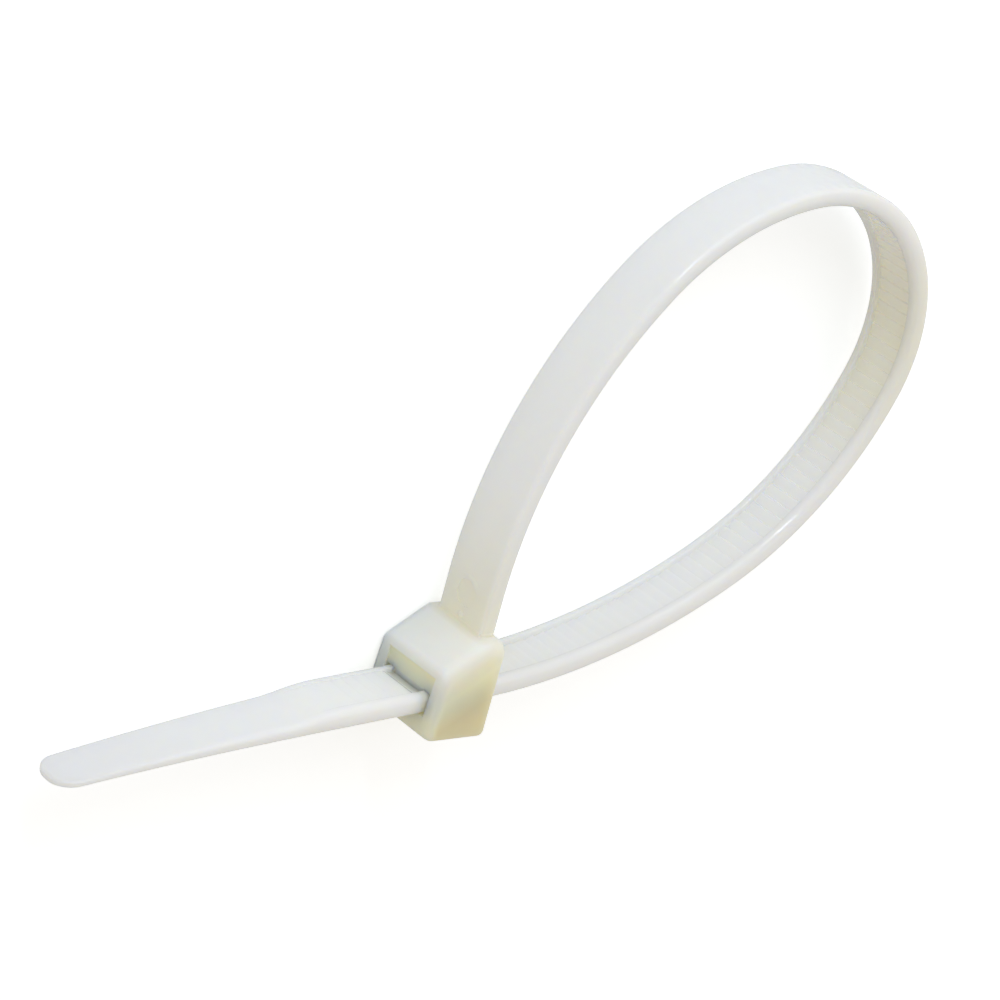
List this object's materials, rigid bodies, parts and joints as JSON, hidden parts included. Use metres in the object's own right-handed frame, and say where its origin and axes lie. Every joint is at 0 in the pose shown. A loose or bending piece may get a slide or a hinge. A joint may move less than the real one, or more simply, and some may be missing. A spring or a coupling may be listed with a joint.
{
  "type": "cable tie",
  "caption": "Moulded nylon cable tie closed into a teardrop loop, with a ribbed strap, a head with a locking pawl and a thin smooth tail pulled through it.",
  "frame": {"origin": "on the lower side face of the head, straight below the middle of the slot, where the tie rests", "axes": "+Z runs across the strap, away from the surface the tie lies on; +Y along the root of the strap where it leaves the head; -X towards the tail that comes out of the slot"},
  "size_m": [0.0996, 0.0611, 0.011],
  "materials": {
    "nylon": "natural translucent nylon, softly shiny, slightly cloudy"
  },
  "bodies": {
    "root": {"cable_tie": "nylon"}
  },
  "joints": []
}
